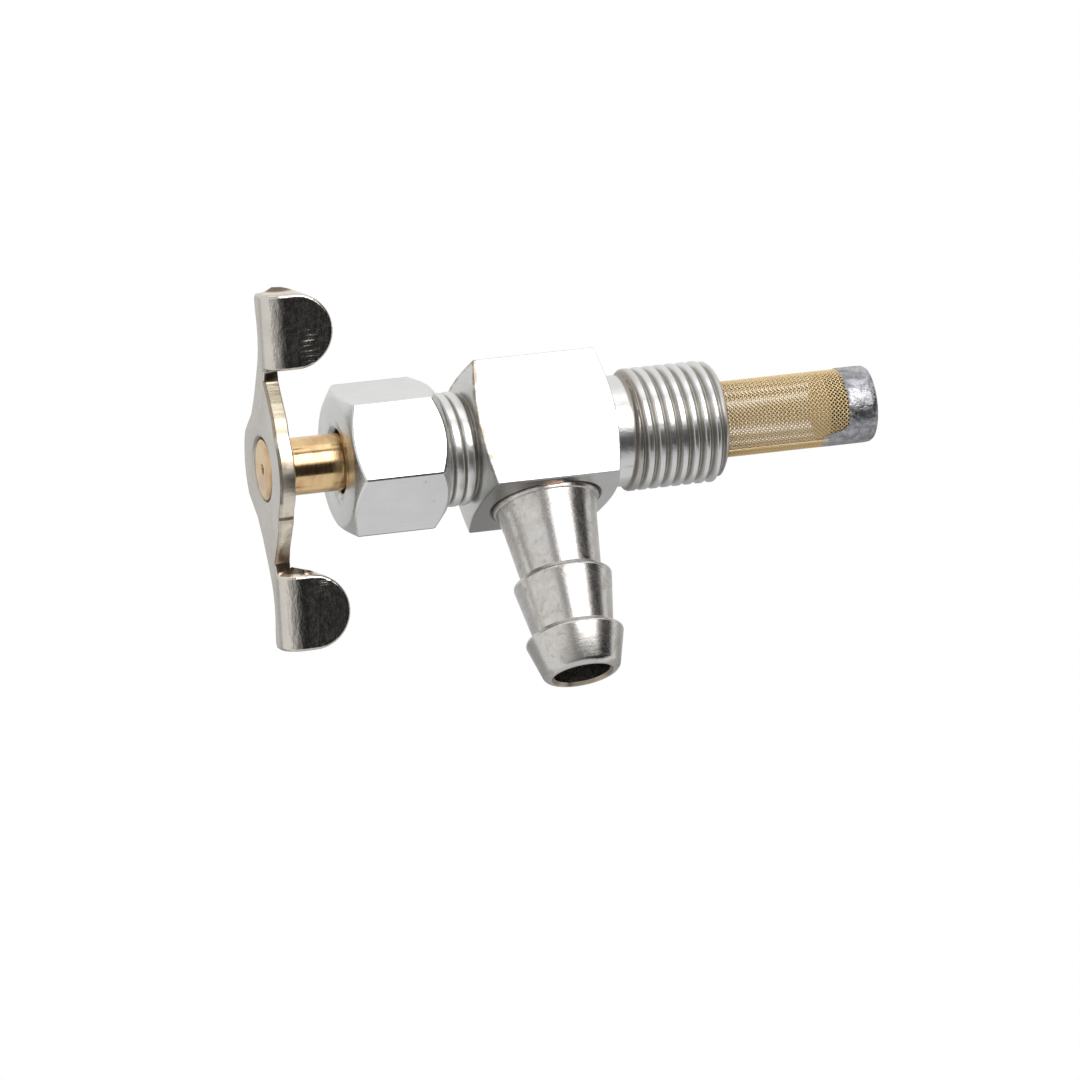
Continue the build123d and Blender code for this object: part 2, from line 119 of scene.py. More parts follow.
# Gauze
GAUZE_RADIUS = 3.05
GAUZE_WIRES = 54
WIRE_RADIUS = 0.054
LAP_START = THREAD_END + 0.25
LAP_END = GAUZE_END - 1.7
LAP_RADIUS = GAUZE_RADIUS + 0.09
LAP_FIRST_ANGLE = 256
LAP_LAST_ANGLE = 288
LAP_ROD_RADIUS = 0.042
LAP_ROD_SEAT = 3.2


class Level:
    """A number that varies over a surface, written with Python's own signs."""

    def __init__(self, finish, socket):
        self.finish, self.socket = finish, socket

    def maths(self, operation, *values):
        return self.finish.node("ShaderNodeMath", {"operation": operation}, *values)

    def __add__(self, other):
        return self.maths("ADD", self, other)

    def __sub__(self, other):
        return self.maths("SUBTRACT", self, other)

    def __rsub__(self, other):
        return self.maths("SUBTRACT", other, self)

    def __mul__(self, other):
        return self.maths("MULTIPLY", self, other)

    def __pow__(self, other):
        return self.maths("POWER", self, other)

    def __abs__(self):
        return self.maths("ABSOLUTE", self)

    __radd__ = __add__
    __rmul__ = __mul__

    def sine(self):
        return self.maths("SINE", self)

    def at_least(self, other):
        return self.maths("MAXIMUM", self, other)

    def step(self, low, high, start=0.0, end=1.0):
        """Runs smoothly from start to end as the number goes from low to high."""
        settings = {"interpolation_type": "SMOOTHSTEP"}
        return self.finish.node("ShaderNodeMapRange", settings, self, low, high, start, end)

    def fade(self, low, high):
        """Runs smoothly from 1 to 0 as the number goes from low to high."""
        return self.step(low, high, 1.0, 0.0)


class Finish:
    """A metal's material, with its pattern in millimetres of the part's own frame."""

    def __init__(self, name, metallic=1.0):
        self.material = bpy.data.materials.new(name)
        self.material.use_nodes = True
        self.tree = self.material.node_tree
        self.shader = self.tree.nodes["Principled BSDF"]
        self.shader.inputs["Metallic"].default_value = metallic
        place = self.node("ShaderNodeTexCoord", {}, output="Object")
        still = (0, 0, 0)
        per_metre = (1 / MM, 1 / MM, 1 / MM)
        self.place = self.node("ShaderNodeMapping", {}, place, still, still, per_metre)

    def node(self, kind, settings, *values, output=0):
        made = self.tree.nodes.new(kind)
        for name, value in settings.items():
            setattr(made, name, value)
        for index, value in enumerate(values):
            if isinstance(value, Level):
                self.tree.links.new(value.socket, made.inputs[index])
            else:
                made.inputs[index].default_value = value
        return Level(self, made.outputs[output])

    def axes(self):
        return [self.node("ShaderNodeSeparateXYZ", {}, self.place, output=name) for name in "XYZ"]

    def off_axis(self):
        """The distance from the main axis."""
        x, y, z = self.axes()
        return (y * y + z * z) ** 0.5

    def off_outlet_axis(self):
        x, y, z = self.axes()
        return ((x - OUTLET_X) ** 2.0 + y ** 2.0) ** 0.5

    def on_handle(self):
        """How far a point is across and along the handle, and how deep behind its front."""
        x, y, z = self.axes()
        across = y * -cos(HANDLE_TURN) + z * -sin(HANDLE_TURN)
        along = y * -sin(HANDLE_TURN) + z * cos(HANDLE_TURN)
        return across, along, x - HANDLE_FRONT

    def point(self, x, y, z):
        return self.node("ShaderNodeCombineXYZ", {}, x, y, z)

    def noise(self, scale, detail, roughness, place=None, twist=0.0):
        made = self.node("ShaderNodeTexNoise", {}, place or self.place)
        inputs = made.socket.node.inputs
        inputs["Scale"].default_value = scale
        inputs["Detail"].default_value = detail
        inputs["Roughness"].default_value = roughness
        inputs["Distortion"].default_value = twist
        return made

    def cells(self, scale):
        made = self.node("ShaderNodeTexVoronoi", {}, self.place)
        made.socket.node.inputs["Scale"].default_value = scale
        return made

    def blend(self, factor, first, second):
        """A colour that goes from first to second as factor goes from 0 to 1."""
        made = self.tree.nodes.new("ShaderNodeMix")
        made.data_type = "RGBA"
        self.tree.links.new(factor.socket, made.inputs[0])
        for index, value in ((6, first), (7, second)):
            if isinstance(value, Level):
                self.tree.links.new(value.socket, made.inputs[index])
            else:
                made.inputs[index].default_value = (*value, 1)
        return Level(self, made.outputs[2])

    def wear(self, name, value):
        self.tree.links.new(value.socket, self.shader.inputs[name])

    def colour(self, factor, first, second):
        self.wear("Base Color", self.blend(factor, first, second))

    def roughness(self, level, smoothest, roughest):
        self.wear("Roughness", level.step(0.3, 0.7, smoothest, roughest))

    def relief(self, height, depth):
        """Bumps the surface by height times depth, in millimetres."""
        bump = self.tree.nodes.new("ShaderNodeBump")
        bump.inputs["Distance"].default_value = depth * MM
        self.tree.links.new(height.socket, bump.inputs["Height"])
        self.tree.links.new(bump.outputs["Normal"], self.shader.inputs["Normal"])


def about_main_axis(finish, tight, along):
    """A place pattern drawn out into rings about the main axis, as a lathe leaves them."""
    x, y, z = finish.axes()
    return finish.point(x * tight, y * along, z * along)


def about_outlet_axis(finish, tight, along):
    x, y, z = finish.axes()
    return finish.point(x * along, y * along, z * tight)


def brown_at_block_edges(finish):
    """How near a point is to where a flat of the block meets an end cone."""
    x, y, z = finish.axes()
    from_flat = BLOCK_HALF - abs(y).at_least(abs(z))
    near = []
    for along, cone in ((x - GLAND_FACE, GLAND_CONE), (INLET_FACE - x, INLET_CONE)):
        from_cone = along - (finish.off_axis() - BLOCK_FACE_RADIUS) * tan(radians(cone))
        near.append((from_cone + from_flat).fade(0.0, 0.95))
    return (near[0] * z.step(-5.4, -4.8)).at_least(near[1] * 0.3)


def painted_shade_underside(finish):
    """Painted shade: the underside is darker on the gland's side of the outlet."""
    x, y, z = finish.axes()
    return z.fade(-5.5, -5.3) * x.fade(-12.5, -4.5)


def brown_at_nut_hole(finish):
    x, y = finish.axes()[:2]
    near_hole = finish.off_axis().fade(2.9, 4.8) * x.fade(NUT_OUTER + 0.1, NUT_OUTER + 0.8)
    return near_hole * y.step(-4.0, -1.5, 1.4, 0.75)


def zinc_plate(name, brown_where, painted_shade_where=None):
    """Bright zinc over turned and drawn steel, with specks, faint mottling and brown dirt."""
    finish = Finish(name)
    grain = finish.noise(3.2, 4, 0.6)
    cloud = finish.noise(0.35, 2, 0.5)
    rings = finish.noise(1.0, 3, 0.6, about_main_axis(finish, 9.0, 0.25))
    drawn = finish.noise(1.0, 2, 0.5, about_main_axis(finish, 0.3, 4.0))
    pits = finish.cells(0.55)
    pit = pits.fade(0.05, 0.12) * grain.step(0.42, 0.6)
    mixed = grain * 0.25 + cloud * 0.5 + drawn * 0.25
    tone = finish.blend(mixed, (0.58, 0.59, 0.585), (0.78, 0.775, 0.755))
    # Where a painted shade is given, it darkens part of the surface.
    if painted_shade_where:
        tone = finish.blend(painted_shade_where(finish) * 0.9, tone, (0.27, 0.26, 0.245))
    dirty = finish.blend(pit * 0.3, tone, (0.12, 0.095, 0.075))
    smear = finish.noise(0.9, 4, 0.65, twist=0.4)
    brown = (brown_where(finish) + (smear - 0.5) * 1.6).step(0.6, 1.15)
    finish.colour(brown * 0.85, dirty, (0.24, 0.18, 0.12))
    finish.wear("Roughness", grain.step(0.3, 0.75, 0.27, 0.34))
    finish.relief(rings * 0.3 + drawn * 0.2 + grain * 0.08 + cloud * 1.2 - pit * 0.5, 0.012)
    return finish.material


def threaded_zinc(name, crest, taper, depth, plain_to, dirty_to):
    """The same plate on a thread, with painted shade that makes the roots greyer and browner, and greyer
    and browner where the thread runs out.
    """
    finish = Finish(name)
    x = finish.axes()[0]
    side = 1 if dirty_to > plain_to else -1
    cut = (x * side).step(plain_to * side - 0.1, plain_to * side + 0.1)
    below_crest = crest - taper * x.at_least(0.0) - finish.off_axis()
    # Painted shade: the thread's roots are painted darker than its crests.
    sunk = cut * below_crest.step(depth * 0.35, depth * 0.95)
    run_out = cut * (x * side).fade(plain_to * side + 0.3, dirty_to * side)
    grain = finish.noise(3.0, 4, 0.6)
    chatter = finish.noise(1.3, 3, 0.6, twist=0.4)
    drag = finish.noise(1.0, 3, 0.65, about_main_axis(finish, 7.0, 0.35))
    tone = finish.blend(grain * 0.4 + drag * 0.6, (0.60, 0.60, 0.585), (0.80, 0.795, 0.775))
    painted_root_shade = finish.blend(chatter, (0.25, 0.23, 0.205), (0.46, 0.435, 0.4))
    threads = finish.blend(sunk * 0.9, tone, painted_root_shade)
    finish.colour(run_out * 0.5, threads, (0.24, 0.20, 0.165))
    finish.wear("Roughness", (grain * 0.5 + sunk * 0.5).step(0.2, 0.9, 0.3, 0.45))
    finish.relief(chatter * 0.9 + drag * cut * 0.6 + grain * 0.15, 0.03)
    return finish.material


def outlet_plate():
    """Turned outlet that brazing has left blotchy: clean bands, pinkish film and dark scabs."""
    finish = Finish("outlet_plate")
    blotch = finish.noise(0.9, 5, 0.7, twist=0.9)
    scab = finish.noise(2.2, 5, 0.7, twist=0.6)
    grain = finish.noise(4.5, 3, 0.6)
    rings = finish.noise(1.0, 3, 0.6, about_outlet_axis(finish, 6.0, 0.25))
    film = blotch.step(0.3, 0.7)
    outline = abs(blotch - 0.6).fade(0.0, 0.03) * scab.step(0.45, 0.6)
    dark = (scab.step(0.54, 0.7) * blotch.step(0.42, 0.62) * 0.6).at_least(outline * 0.5)
    tone = finish.blend(film, (0.60, 0.60, 0.585), (0.53, 0.485, 0.445))
    spotted = finish.blend(dark * 0.8, tone, (0.15, 0.15, 0.145))
    z = finish.axes()[2]
    mouth = finish.off_outlet_axis().fade(2.52, 2.66) * z.fade(-20.7, -20.4)
    finish.colour(mouth * 0.8, spotted, (0.30, 0.22, 0.15))
    finish.wear("Roughness", (grain * 0.4 + film * 0.6).step(0.1, 0.95, 0.22, 0.32))
    finish.relief(scab * 0.35 + rings * 0.3 + grain * 0.12 - dark * 0.2, 0.02)
    return finish.material


def nickel_sheet():
    """Bright warm nickel on pressed sheet, rippled where the ears were folded."""
    finish = Finish("nickel_sheet")
    across, along, depth = finish.on_handle()
    on_ear = across.step(1.8, 3.3)
    out = abs(along)
    upper = along.step(-1.0, 1.0)
    stretch = upper * out.step(8.7, 9.3) * out.fade(11.4, 12.2)
    stretch = stretch + (1 - upper) * out.step(8.8, 9.2) * out.fade(9.9, 10.7)
    dented = stretch * across.step(2.6, 3.2) * depth.step(2.6, 3.7) * depth.fade(3.7, 4.9)
    drift = finish.noise(0.7, 1, 0.5)
    ripple = (along * 14.5 + drift * 5.0).sine() * drift.step(0.3, 0.6, 0.5, 1.0)
    bend = depth.step(0.2, 0.6) * depth.fade(1.3, 2.2)
    x = finish.axes()[0]
    streak = finish.noise(1.0, 3, 0.55, finish.point(x * 2.4, across * 2.4, along * 1.1), 0.3)
    worn = finish.noise(1.3, 3, 0.6, finish.point(x * 1.4, across, along))
    # Painted shade in the gap round the rivet head.
    rivet_ring_shade = finish.off_axis().fade(2.55, 2.95) * depth.fade(0.5, 0.8)
    orange_peel = finish.noise(2.4, 3, 0.55)
    cloud = finish.noise(0.5, 2, 0.5)
    fine = finish.noise(7.0, 3, 0.6)
    tone = finish.blend(cloud, (0.52, 0.485, 0.44), (0.64, 0.61, 0.56))
    finish.colour(rivet_ring_shade * 0.7, tone, (0.20, 0.17, 0.14))
    finish.wear("Roughness", orange_peel.step(0.3, 0.7, 0.14, 0.22) + (1 - on_ear) * 0.12)
    ragged = streak * on_ear * 0.35 + streak * on_ear * bend * 1.6 + worn * on_ear * 0.35
    finish.relief(ripple * dented * 0.3 + ragged + orange_peel * 0.22 + fine * 0.04, 0.05)
    return finish.material


def sheared_edge():
    """The cut edge of the sheet, where the nickel is thin and shows gold and brown, with painted shade on
    the lower arm's slanted edge, in the notches and at the ears' squeezed ends.
    """
    finish = Finish("sheared_edge")
    x, y, z = finish.axes()
    drag = finish.noise(1.0, 3, 0.6, finish.point(x * 0.5, y * 2.2, z * 2.2))
    stain = finish.noise(0.7, 3, 0.55)
    along, depth = finish.on_handle()[1:]
    out = abs(along)
    tone = finish.blend(stain.step(0.5, 0.7), (0.76, 0.69, 0.58), (0.52, 0.43, 0.32))
    arm = finish.blend(along.step(3.2, 3.5) * along.fade(7.8, 8.2), tone, (0.42, 0.365, 0.28))
    # Painted shade on the lower arm's slanted edge, which faces down.
    brown = out.step(5.2, 7.2) * (0.45 + stain * 0.6) * out.fade(7.8, 8.2)
    arm_with_painted_shade = finish.blend(brown * along.fade(-0.5, 0.5), arm, (0.34, 0.235, 0.15))
    corner = depth.fade(0.1, 0.3) * (0.5 + drag * 0.6)
    on_hub = along.step(-2.4, -2.0) * along.fade(2.2, 3.0)
    lined = finish.blend(corner * (1 - on_hub) * 0.6, arm_with_painted_shade, (0.27, 0.22, 0.16))
    inked = finish.blend(corner * on_hub, lined, (0.07, 0.062, 0.055))
    burr = abs(along + 3.45 + drag * 0.1).fade(0.08, 0.2)
    marked = finish.blend(burr * 0.85, inked, (0.10, 0.08, 0.06))
    # Painted shade: the notch's walls and the squeezed ends of the ears are painted dark.
    notch = out.step(7.5, 7.62) * out.fade(8.3, 8.44)
    outer_lip = along.step(14.95, 15.1)
    inner_lip = along.step(-8.05, -7.85) * along.fade(-1.0, 0.0) * depth.step(1.2, 1.5) * 0.7
    dark = notch.at_least(outer_lip).at_least(inner_lip)
    finish.colour(dark * 0.9, marked, (0.12, 0.085, 0.06))
    finish.roughness(drag, 0.26, 0.36)
    finish.relief(drag, 0.014)
    return finish.material


def turned_brass():
    """Polished brass with fine turning lines."""
    finish = Finish("turned_brass")
    rings = finish.noise(1.0, 3, 0.6, about_main_axis(finish, 14.0, 0.2))
    tarnish = finish.noise(0.8, 3, 0.55)
    tone = finish.blend(tarnish.step(0.35, 0.7), (0.78, 0.56, 0.29), (0.62, 0.40, 0.21))
    x, y, z = finish.axes()
    depth = x - HANDLE_FRONT
    # Painted shade: the rivet's centre dimple is painted dark.
    dimple = (y * y + z * z).fade(0.12, 0.26) * depth.step(0.01, 0.04) * depth.fade(0.81, 1.01)
    finish.colour(dimple, tone, (0.09, 0.055, 0.03))
    finish.roughness(rings, 0.12, 0.2)
    finish.relief(rings, 0.006)
    return finish.material


def gauze_brass():
    finish = Finish("gauze_brass")
    radius = finish.off_axis()
    # Painted shade: wires are darker where they pass under others, and the lap's wires and rods are
    # darker below their tops.
    under = (GAUZE_RADIUS - radius).step(-0.06, 0.05)
    patch = finish.noise(0.5, 3, 0.55)
    grain = finish.noise(5.0, 2, 0.5)
    bright = finish.blend(patch, (0.98, 0.84, 0.56), (0.95, 0.74, 0.43))
    crossed = finish.blend(under * 0.75, bright, (0.46, 0.30, 0.12))
    lapped = radius.step(3.1, 3.17) * radius.fade(3.205, 3.215)
    finish.colour(lapped * 0.75, crossed, (0.50, 0.33, 0.11))
    finish.roughness(grain, 0.38, 0.5)
    finish.relief(grain, 0.01)
    return finish.material


def cast_solder():
    """Dull grey solder, mottled and grainy, with brighter skin here and there."""
    finish = Finish("cast_solder")
    mottle = finish.noise(1.1, 5, 0.65, twist=0.7)
    grain = finish.noise(5.0, 4, 0.65)
    scar = finish.noise(2.2, 3, 0.6, twist=0.3)
    tone = finish.blend(mottle.step(0.36, 0.66), (0.22, 0.22, 0.235), (0.50, 0.50, 0.52))
    skin = finish.blend(grain.step(0.55, 0.75) * 0.6, tone, (0.70, 0.70, 0.72))
    x = finish.axes()[0]
    off_axis = finish.off_axis()
    # Painted shade: the plug's side inside the gauze is painted near-black.
    inside = x.fade(GAUZE_END - 0.06, GAUZE_END - 0.04) * off_axis.fade(2.94, 2.98)
    behind_gauze = finish.blend(off_axis.step(2.86, 2.9), (0.72, 0.52, 0.26), (0.07, 0.045, 0.02))
    finish.colour(inside, skin, behind_gauze)
    finish.roughness(grain, 0.24, 0.4)
    finish.relief(grain * 0.7 + scar * 1.1, 0.05)
    return finish.material


def copper_braze():
    finish = Finish("copper_braze")
    x, y, z = finish.axes()
    flux = finish.noise(1.4, 4, 0.6, twist=0.5)
    grain = finish.noise(6.0, 3, 0.6)
    bare = flux.step(0.3, 0.42) * (y + abs(x - (OUTLET_X - 0.55)) * 0.8).fade(-4.2, -3.6)
    tone = finish.blend(bare, (0.085, 0.075, 0.066), (0.72, 0.47, 0.36))
    plated = (finish.off_outlet_axis() + flux * 0.1).step(4.68, 4.76) * (1 - bare)
    finish.colour(plated * 0.85, tone, (0.42, 0.41, 0.395))
    finish.roughness(grain, 0.3, 0.5)
    finish.relief(flux + grain * 0.4, 0.06)
    return finish.material


def graphited_packing():
    finish = Finish("graphited_packing", 0.0)
    braid = finish.noise(1.0, 3, 0.6, about_main_axis(finish, 3.0, 1.6))
    finish.colour(braid, (0.02, 0.02, 0.021), (0.09, 0.088, 0.085))
    finish.roughness(braid, 0.45, 0.75)
    finish.relief(braid, 0.06)
    return finish.material


def ball_steel():
    finish = Finish("ball_steel")
    scuff = finish.noise(2.5, 4, 0.6)
    finish.colour(scuff, (0.50, 0.50, 0.51), (0.64, 0.64, 0.65))
    finish.roughness(scuff, 0.1, 0.2)
    finish.relief(scuff, 0.003)
    return finish.material


def put_in_scene(name, data):
    made = bpy.data.objects.new(name, data)
    bpy.context.scene.collection.objects.link(made)
    return made


def only_verts(items):
    return [item for item in items if isinstance(item, bmesh.types.BMVert)]


def only_edges(items):
    return [item for item in items if isinstance(item, bmesh.types.BMEdge)]


def edges_at(verts):
    return list({edge for vert in verts for edge in vert.link_edges})


def faces_at(verts):
    return list({face for vert in verts for face in vert.link_faces})


def fill_open_ends(shape, sides):
    bmesh.ops.holes_fill(shape, edges=[edge for edge in shape.edges if edge.is_boundary], sides=sides)


def polyline(shape, points, closed=False):
    verts = [shape.verts.new(point) for point in points]
    ends = verts[1:] + (verts[:1] if closed else [])
    return verts, [shape.edges.new(pair) for pair in zip(verts, ends)]


def circle(shape, radius, segments, seat=Matrix.Identity(4), filled=False):
    made = bmesh.ops.create_circle(shape, cap_ends=filled, radius=radius, segments=segments, matrix=seat)
    return made["verts"]


def spin(shape, items, angle, steps, centre=(0, 0, 0), axis=(1, 0, 0), rise=0.0, merge=False):
    """Spins a line or a wire's end about an axis, and moves it on along X by rise at each step."""
    bmesh.ops.spin(
        shape,
        geom=items,
        cent=centre,
        axis=axis,
        dvec=(rise, 0, 0),
        angle=angle,
        steps=steps,
        use_merge=merge,
    )


def smooth(value, low, high):
    """Runs smoothly from 0 at low to 1 at high, which may be the smaller of the two."""
    share = min(1.0, max(0.0, (value - low) / (high - low)))
    return share * share * (3 - 2 * share)


def make_piece(name, shape, body, materials, replaced=(), *, sharp):
    """Closes a bmesh in millimetres off as a finished piece that rides on a CAD body."""
    bmesh.ops.remove_doubles(shape, verts=shape.verts[:], dist=0.0005)
    bmesh.ops.recalc_face_normals(shape, faces=shape.faces[:])
    bmesh.ops.scale(shape, vec=(MM, MM, MM), verts=shape.verts[:])
    mesh = bpy.data.meshes.new(name)
    for face in shape.faces:
        face.smooth = True
    shape.to_mesh(mesh)
    shape.free()
    mesh.set_sharp_from_angle(angle=radians(sharp))
    for material in materials:
        mesh.materials.append(material)
    piece = put_in_scene(name, mesh)
    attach(piece, body)
    if replaced:
        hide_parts(*replaced)


def bevel(shape, edges, width, segments, material=-1):
    return bmesh.ops.bevel(
        shape,
        geom=edges,
        offset=width,
        offset_type="OFFSET",
        segments=segments,
        profile=0.5,
        affect="EDGES",
        material=material,
        clamp_overlap=False,
    )["faces"]


def break_corners(shape, width, angle):
    """Takes a small flat off every corner that is sharper than the angle."""
    bmesh.ops.remove_doubles(shape, verts=shape.verts[:], dist=0.0005)
    bmesh.ops.recalc_face_normals(shape, faces=shape.faces[:])
    corners = [edge for edge in shape.edges if edge.calc_face_angle(0) > radians(angle)]
    bevel(shape, corners, width, 1)


def split(shape, centre, outward, clear=True, near=0.0001):
    """Cuts a shape with a plane, and unless told not to takes away what lies outside it."""
    return bmesh.ops.bisect_plane(
        shape,
        geom=shape.verts[:] + shape.edges[:] + shape.faces[:],
        dist=near,
        plane_co=centre,
        plane_no=outward,
        clear_outer=clear,
    )["geom_cut"]


def turned(profile, steps=160, upright=False, closed=False):
    """Turns (along, radius) points about the main axis, or about the outlet's axis when upright."""
    if upright:
        points = [(OUTLET_X + radius, 0, along) for along, radius in profile]
        centre, axis = (OUTLET_X, 0, 0), (0, 0, 1)
    else:
        points = [(along, radius, 0) for along, radius in profile]
        centre, axis = (0, 0, 0), (1, 0, 0)
    shape = bmesh.new()
    verts, edges = polyline(shape, points, closed)
    spin(shape, verts + edges, 2 * pi, steps, centre, axis, merge=True)
    bmesh.ops.remove_doubles(shape, verts=shape.verts[:], dist=0.0005)
    return shape


def round_rings(shape, rings):
    """Rounds edges that were turned about the outlet's axis: (along, radius, width)."""
    for along, radius, width in rings:
        on_ring = set()
        for vert in shape.verts:
            x, y, z = vert.co
            if abs(z - along) < 0.01 and abs(hypot(x - OUTLET_X, y) - radius) < 0.01:
                on_ring.add(vert)
        edges = [edge for edge in shape.edges if on_ring.issuperset(edge.verts)]
        bevel(shape, edges, width, 5)


def cut_flat(shape, centre, outward):
    """Cuts a flat across a shape, and closes it with one face."""
    rim = only_edges(split(shape, centre, outward))
    bmesh.ops.edgeloop_fill(shape, edges=rim)


def bar_turned_to_cones(start, end, face_radius, start_cone, end_cone, reach):
    """The outside of a bar's end cones, before its flats are cut."""
    from_axis = reach - face_radius
    first = start + from_axis * tan(radians(start_cone))
    last = end - from_axis * tan(radians(end_cone))
    return turned(
        [(start, 0), (start, face_radius), (first, reach), (last, reach), (end, face_radius), (end, 0)]
    )


def square_block(zinc):
    """Square bar with a cone turned at each end and a round recess in its underside."""
    reach = BLOCK_HALF * sqrt(2) + 0.4
    shape = bar_turned_to_cones(GLAND_FACE, INLET_FACE, BLOCK_FACE_RADIUS, GLAND_CONE, INLET_CONE, reach)
    for outward in ((0, 1, 0), (0, 0, 1), (0, -1, 0), (0, 0, -1)):
        cut_flat(shape, Vector(outward) * BLOCK_HALF, outward)
    break_corners(shape, LONG_EDGE_WEAR, 80.0)
    break_corners(shape, CONE_EDGE_WEAR, 60.0)
    underside = min(shape.faces, key=lambda face: face.calc_center_median().z)
    rim = list(underside.edges)
    bmesh.ops.delete(shape, geom=[underside], context="FACES_ONLY")
    seat = Matrix.Translation((OUTLET_X, 0, -BLOCK_HALF))
    lip = edges_at(circle(shape, RECESS_RADIUS, 120, seat))
    bmesh.ops.triangle_fill(shape, use_beauty=True, edges=rim + lip, normal=(0, 0, -1))
    top = only_verts(bmesh.ops.extrude_edge_only(shape, edges=lip)["geom"])
    bmesh.ops.translate(shape, vec=(0, 0, RECESS_DEPTH), verts=top)
    inner = [edge for edge in shape.edges if all(vert in top for vert in edge.verts)]
    bmesh.ops.edgeloop_fill(shape, edges=inner)
    make_piece("square_block", shape, "tap_body", [zinc], ["valve_body"], sharp=20)


# Half of a rolled thread's ridge, as (share of the pitch, share of the depth)
# from the middle of its crest to the middle of its root
SPLIT_CREST = [
    (0.0, 0.05), (0.04, 0.035), (0.09, 0.0), (0.14, 0.04), (0.2, 0.18),
    (0.28, 0.48), (0.37, 0.82), (0.44, 0.97), (0.5, 1.0),
]
WORN_CREST = [(0.0, 0.0), (0.22, 0.03), (0.32, 0.1), (0.37, 0.26), (0.43, 0.76), (0.46, 0.94), (0.5, 1.0)]


def thread_skin(start, end, pitch, crest, depth, half_ridge, phase):
    """A right-hand thread's surface between two planes: one turn spun as a helix, then repeated.

    The phase is where a crest crosses the plane of X and Y.
    """
    ridge = half_ridge + [(1 - share, sunk) for share, sunk in reversed(half_ridge[:-1])]
    first = phase - ceil((phase - start) / pitch + 1.5) * pitch
    turns = ceil((end - first) / pitch) + 1
    steps = 112
    shape = bmesh.new()
    points = [(first + share * pitch, crest - sunk * depth, 0) for share, sunk in ridge]
    verts, edges = polyline(shape, points)
    spin(shape, verts + edges, 2 * pi, steps, rise=pitch / steps)
    turn = shape.verts[:] + shape.edges[:] + shape.faces[:]
    for number in range(1, turns):
        copy = bmesh.ops.duplicate(shape, geom=turn)["geom"]
        bmesh.ops.translate(shape, vec=(number * pitch, 0, 0), verts=only_verts(copy))
    bmesh.ops.remove_doubles(shape, verts=shape.verts[:], dist=0.002)
    split(shape, (start, 0, 0), (-1, 0, 0))
    split(shape, (end, 0, 0), (1, 0, 0))
    return shape


def set_radius(verts, limit, late=0.0):
    """Moves each vertex in or out from the main axis, to the radius that limit gives.

    The limit may come late on the upper side, as where a thread runs out.
    """
    for vert in verts:
        x, y, z = vert.co
        radius = hypot(y, z)
        factor = limit(x - late * (1 + z / radius) / 2, radius) / radius
        vert.co = (x, y * factor, z * factor)


def open_rim(shape, along):
    at_station = {vert for vert in shape.verts if abs(vert.co.x - along) < 0.01}
    return [edge for edge in shape.edges if edge.is_boundary and at_station.issuperset(edge.verts)]


def carry_on(shape, along, moves):
    """Extrudes an open rim through (along, radius) stations, and closes the last one."""
    rim = open_rim(shape, along)
    for station, radius in moves:
        made = bmesh.ops.extrude_edge_only(shape, edges=rim)["geom"]
        verts = only_verts(made)
        for vert in verts:
            vert.co.x = station
        set_radius(verts, lambda x, r: radius)
        rim = only_edges(made)
    bmesh.ops.edgeloop_fill(shape, edges=rim)


def blend_points(points, x):
    """Straight-line reading of a table of (x, value) points."""
    if x <= points[0][0]:
        return points[0][1]
    for (x0, y0), (x1, y1) in zip(points, points[1:]):
        if x <= x1:
            return y0 + (y1 - y0) * (x - x0) / (x1 - x0)
    return points[-1][1]


def tank_stub(metal):
    """Inlet stub: neck, taper thread, and the bore for the strainer."""
    foot = -0.35
    a_crest = 0.398
    shape = thread_skin(
        foot, THREAD_END, TANK_PITCH, TANK_RADIUS, TANK_THREAD_DEPTH, SPLIT_CREST, phase=a_crest
    )
    start = [(foot, NECK_RADIUS), (foot + 0.08, 4.85), (foot + 0.25, 5.15), (foot + 0.5, TANK_RADIUS)]
    last_full = 7.2
    end = [(last_full, TANK_RADIUS - last_full * TANK_TAPER), (7.5, 4.93), (7.78, 4.7), (THREAD_END, 4.4)]
    set_radius(shape.verts, lambda x, r: min(r - x * TANK_TAPER, blend_points(end, x)))
    set_radius(shape.verts, lambda x, r: min(r, blend_points(start, x)), late=0.55)
    carry_on(shape, foot, [(INLET_FACE - 0.5, NECK_RADIUS)])
    broken = 0.25
    bore = [
        (THREAD_END, STRAINER_BORE + broken),
        (THREAD_END - broken, STRAINER_BORE),
        (STRAINER_FLOOR, STRAINER_BORE),
    ]
    carry_on(shape, THREAD_END, bore)
    make_piece("tank_stub", shape, "tap_body", [metal], ["valve_body"], sharp=50)


def gland_spigot(metal):
    """Threaded spigot between the block and the gland nut, with the stuffing box."""
    a_crest = -15.02
    shape = thread_skin(
        SPIGOT_END, GLAND_FACE, GLAND_PITCH, SPIGOT_RADIUS, GLAND_THREAD_DEPTH, WORN_CREST, phase=a_crest
    )
    outline = [
        (SPIGOT_END, 4.35), (SPIGOT_END + 0.4, SPIGOT_RADIUS), (-14.1, SPIGOT_RADIUS),
        (-13.9, 4.45), (-13.8, SPIGOT_RELIEF), (GLAND_FACE, SPIGOT_RELIEF),
    ]
    set_radius(shape.verts, lambda x, r: min(r, blend_points(outline, x)))
    carry_on(shape, GLAND_FACE, [(GLAND_FACE + 0.5, SPIGOT_RELIEF)])
    carry_on(shape, SPIGOT_END, [(SPIGOT_END, STUFFING_BOX), (BOX_FLOOR, STUFFING_BOX)])
    make_piece("gland_spigot", shape, "tap_body", [metal], ["valve_body"], sharp=50)


